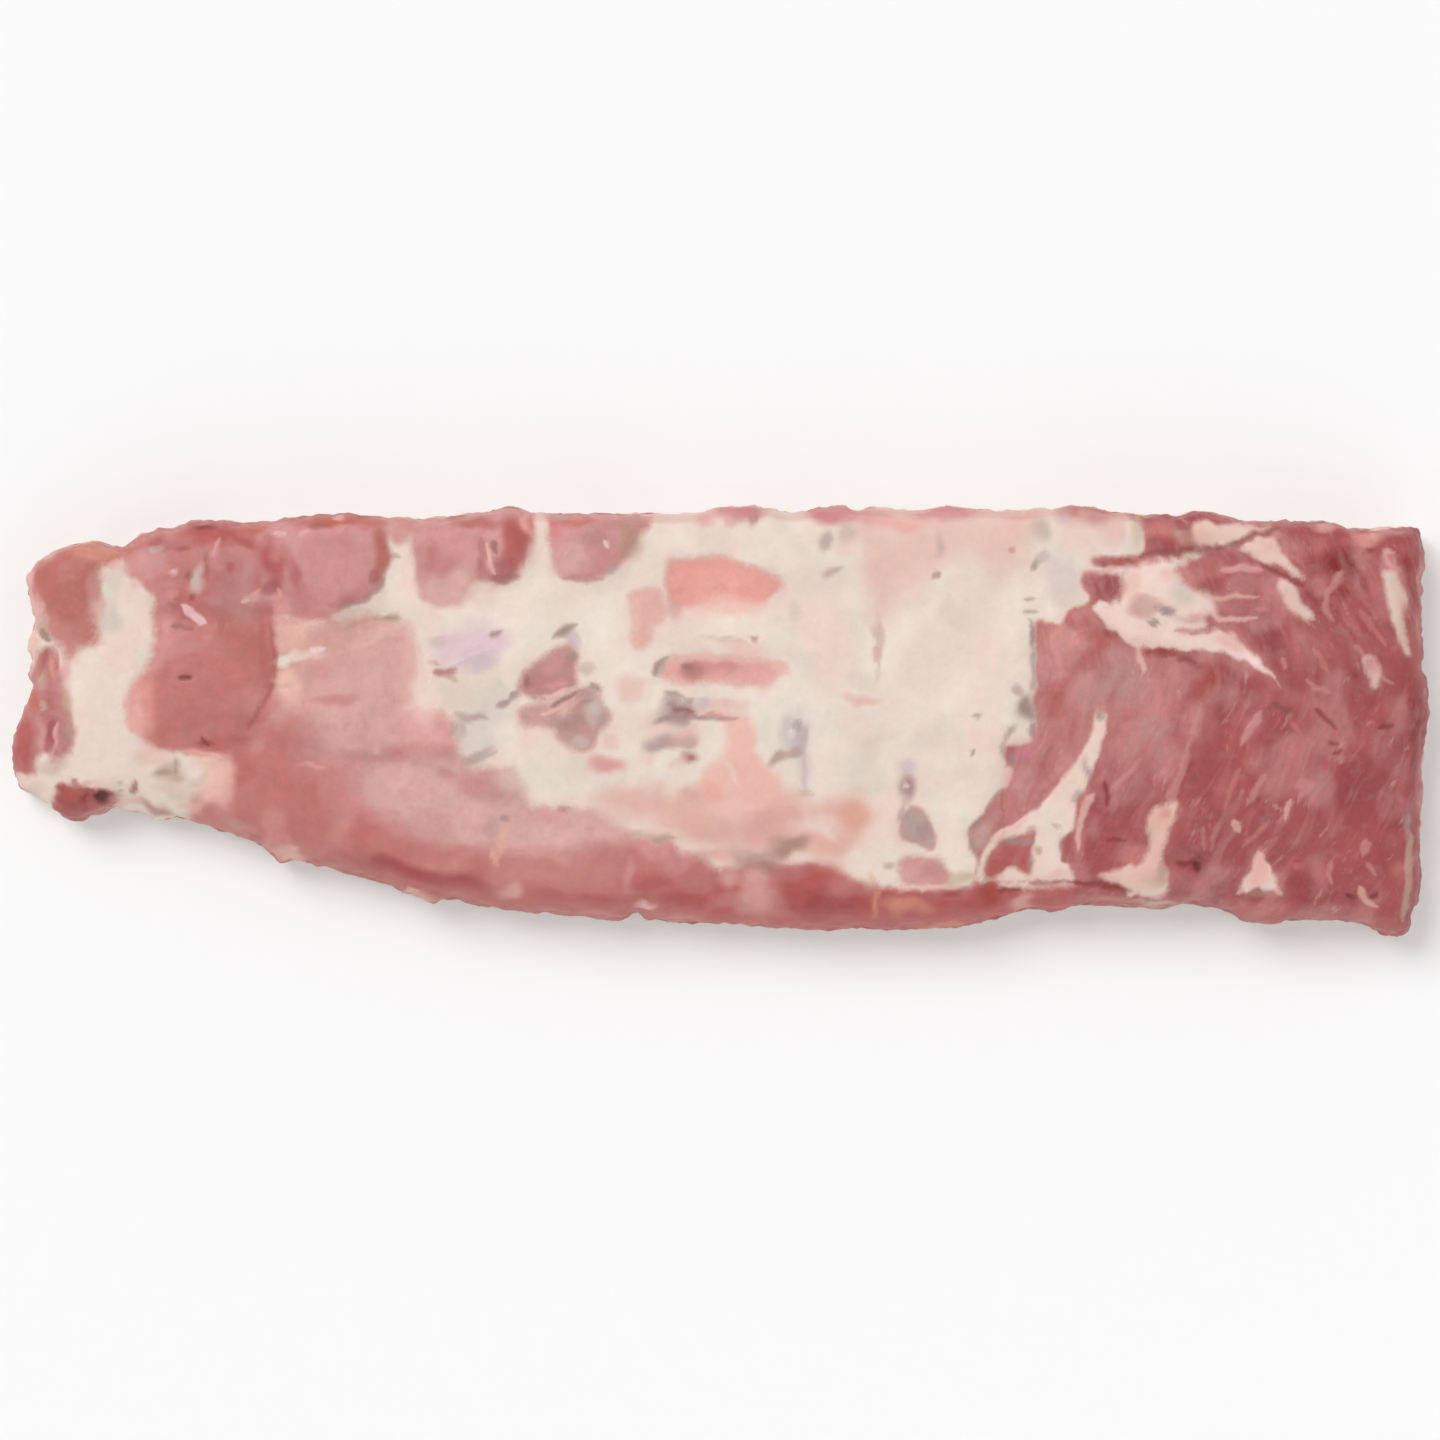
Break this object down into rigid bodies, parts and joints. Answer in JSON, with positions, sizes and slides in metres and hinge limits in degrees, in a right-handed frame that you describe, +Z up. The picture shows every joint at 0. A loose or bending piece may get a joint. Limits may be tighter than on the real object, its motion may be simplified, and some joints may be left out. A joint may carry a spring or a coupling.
{
  "type": "pork belly",
  "caption": "Whole boneless pork belly with the rind off, frozen flat, lying fat side down with the ribbed inner side up.",
  "frame": {"origin": "bottom centre: the middle of the length and the width, on the surface that the belly lies on", "axes": "+X along the belly towards the thick flank end, +Y across it towards the rib edge, +Z up through its thickness"},
  "size_m": [0.6016, 0.1838, 0.0417],
  "materials": {
    "pork": "raw lean and fat, satin"
  },
  "bodies": {
    "root": {"pork_belly": "pork"}
  },
  "joints": []
}
